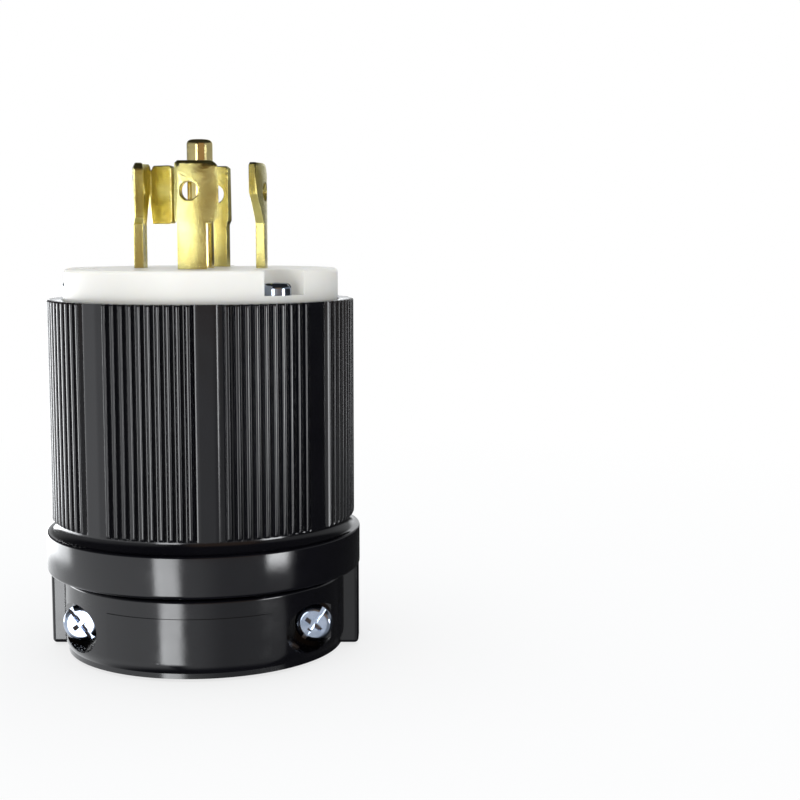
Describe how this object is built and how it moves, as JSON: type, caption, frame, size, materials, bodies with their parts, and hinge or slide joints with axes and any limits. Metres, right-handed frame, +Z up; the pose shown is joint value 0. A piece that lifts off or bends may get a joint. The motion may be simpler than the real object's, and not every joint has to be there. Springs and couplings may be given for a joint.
{
  "type": "locking power plug",
  "caption": "Locking power plug: ribbed round shell with a smooth collar, split cord clamp at its base, white contact flange, hooked blades round a straight ground pin.",
  "frame": {"origin": "on the plug's axis at its cord end, the face that it stands on", "axes": "+Z up along the plug's axis towards the contacts, -Y the front, where the clamp screws' heads are, +X to the right seen from the front"},
  "size_m": [0.0594, 0.0594, 0.0963],
  "materials": {
    "black": "glossy moulded nylon",
    "white": "milky satin nylon",
    "amber": "amber plastic",
    "brass": "bright",
    "zinc": "bright zinc plate",
    "grey": "satin"
  },
  "bodies": {
    "root": {"shell": "black", "contact_carrier": "white", "terminal_cover": "amber", "blade_front": "brass", "blade_right": "brass", "blade_back": "brass", "blade_left": "brass", "ground_pin": "brass", "wire_plate_front": "brass", "wire_plate_right": "brass", "wire_plate_back": "brass", "wire_plate_left": "brass", "wire_plate_ground": "brass", "terminal_screw_front": "zinc", "terminal_screw_right": "zinc", "terminal_screw_back": "zinc", "terminal_screw_left": "zinc", "terminal_screw_ground": "brass", "assembly_screw_1": "zinc", "assembly_screw_2": "zinc", "assembly_screw_3": "zinc", "clamp_half_front": "black", "clamp_half_rear": "black", "cord_grip_front": "grey", "cord_grip_rear": "grey", "clamp_screw_left": "zinc", "clamp_screw_right": "zinc"}
  },
  "joints": []
}
